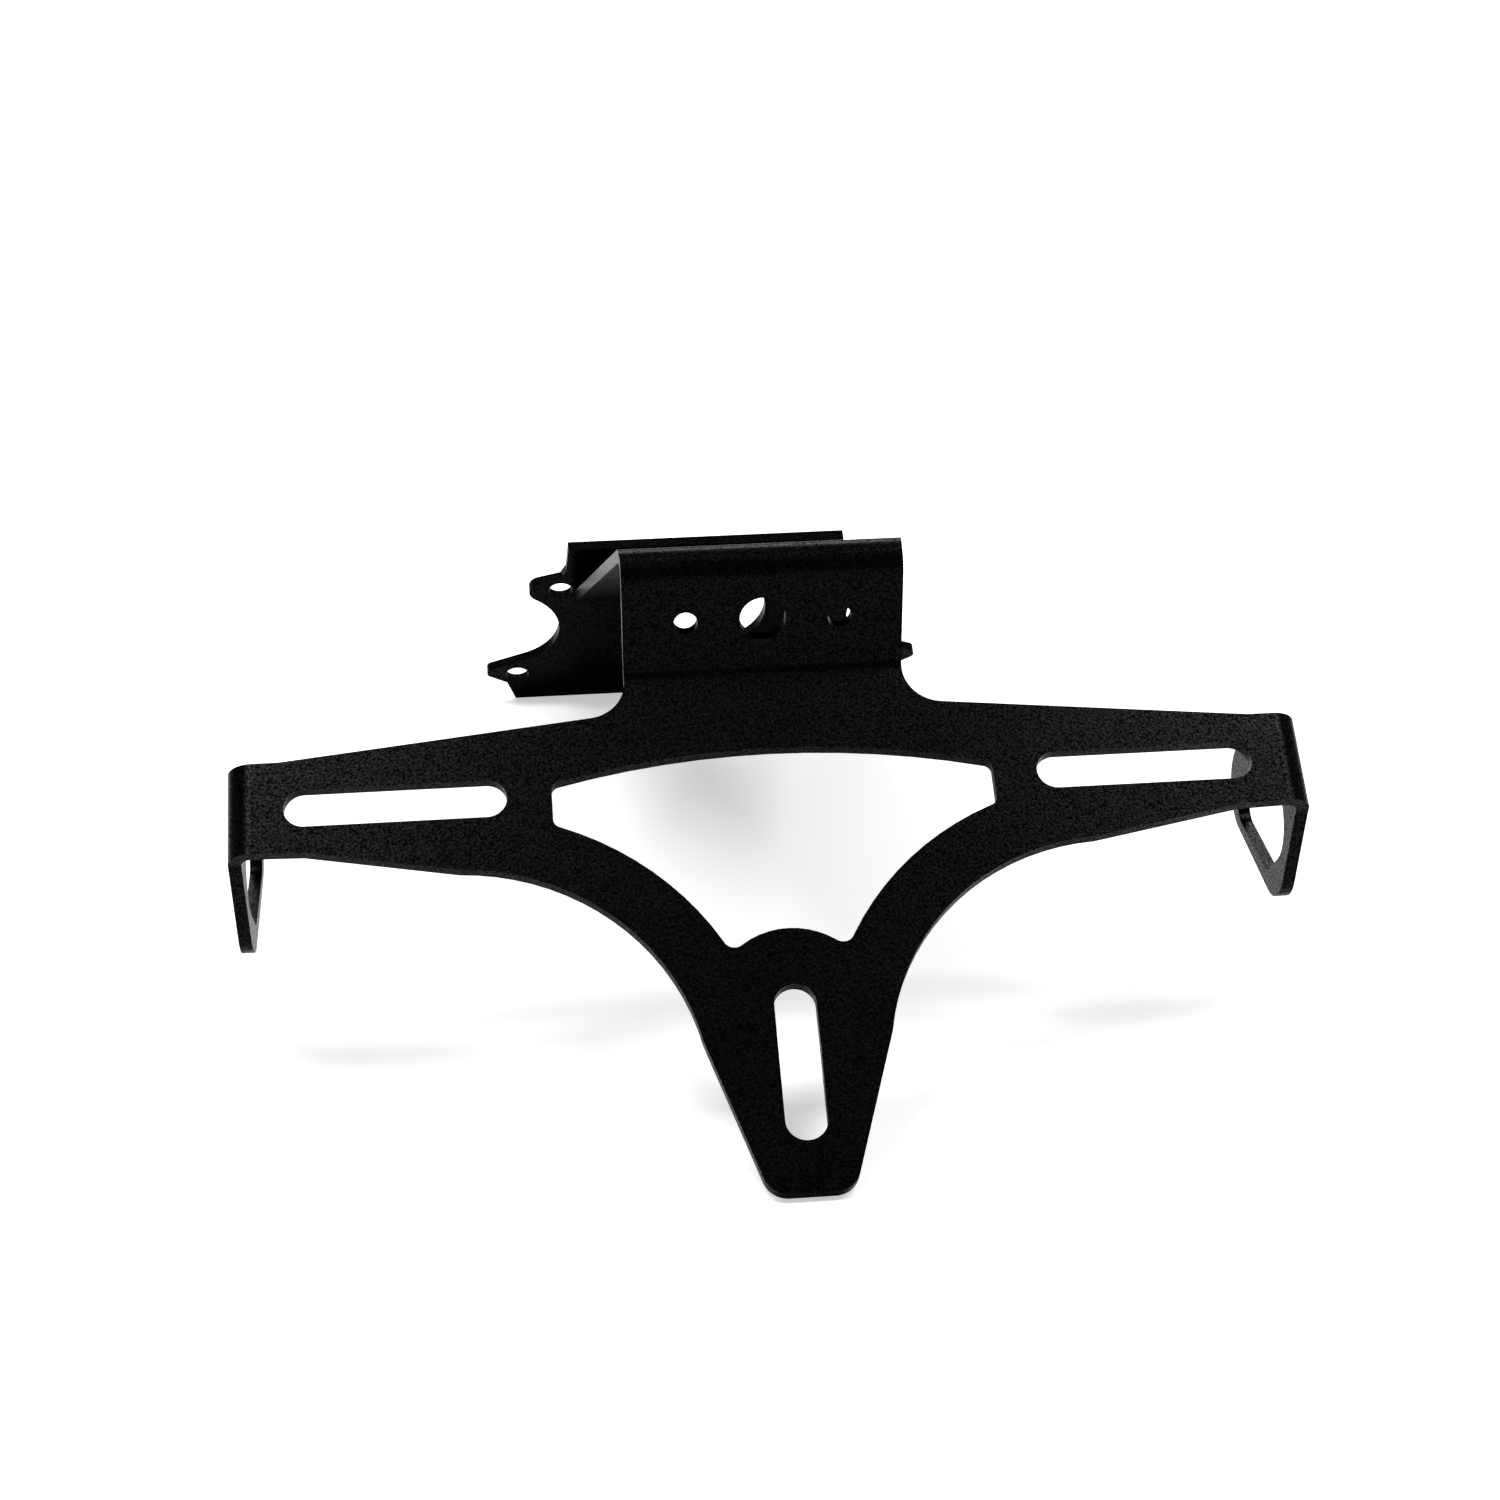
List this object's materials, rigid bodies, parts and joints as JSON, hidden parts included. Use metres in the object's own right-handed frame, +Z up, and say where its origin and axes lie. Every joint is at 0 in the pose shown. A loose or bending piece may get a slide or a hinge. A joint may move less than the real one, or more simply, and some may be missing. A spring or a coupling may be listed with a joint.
{
  "type": "tail tidy",
  "caption": "Black folded sheet tail tidy with a slotted number plate face, side flaps, a lamp tab and a bridge to its mounting plate.",
  "frame": {"origin": "middle of the footprint on the floor it rests on", "axes": "+X across the part to its right seen from the front, +Y to the back towards the mounting plate, +Z up"},
  "size_m": [0.215, 0.266, 0.0987],
  "materials": {
    "powder_coat": "fine textured matte black powder coat"
  },
  "bodies": {
    "root": {"bracket": "powder_coat"}
  },
  "joints": []
}
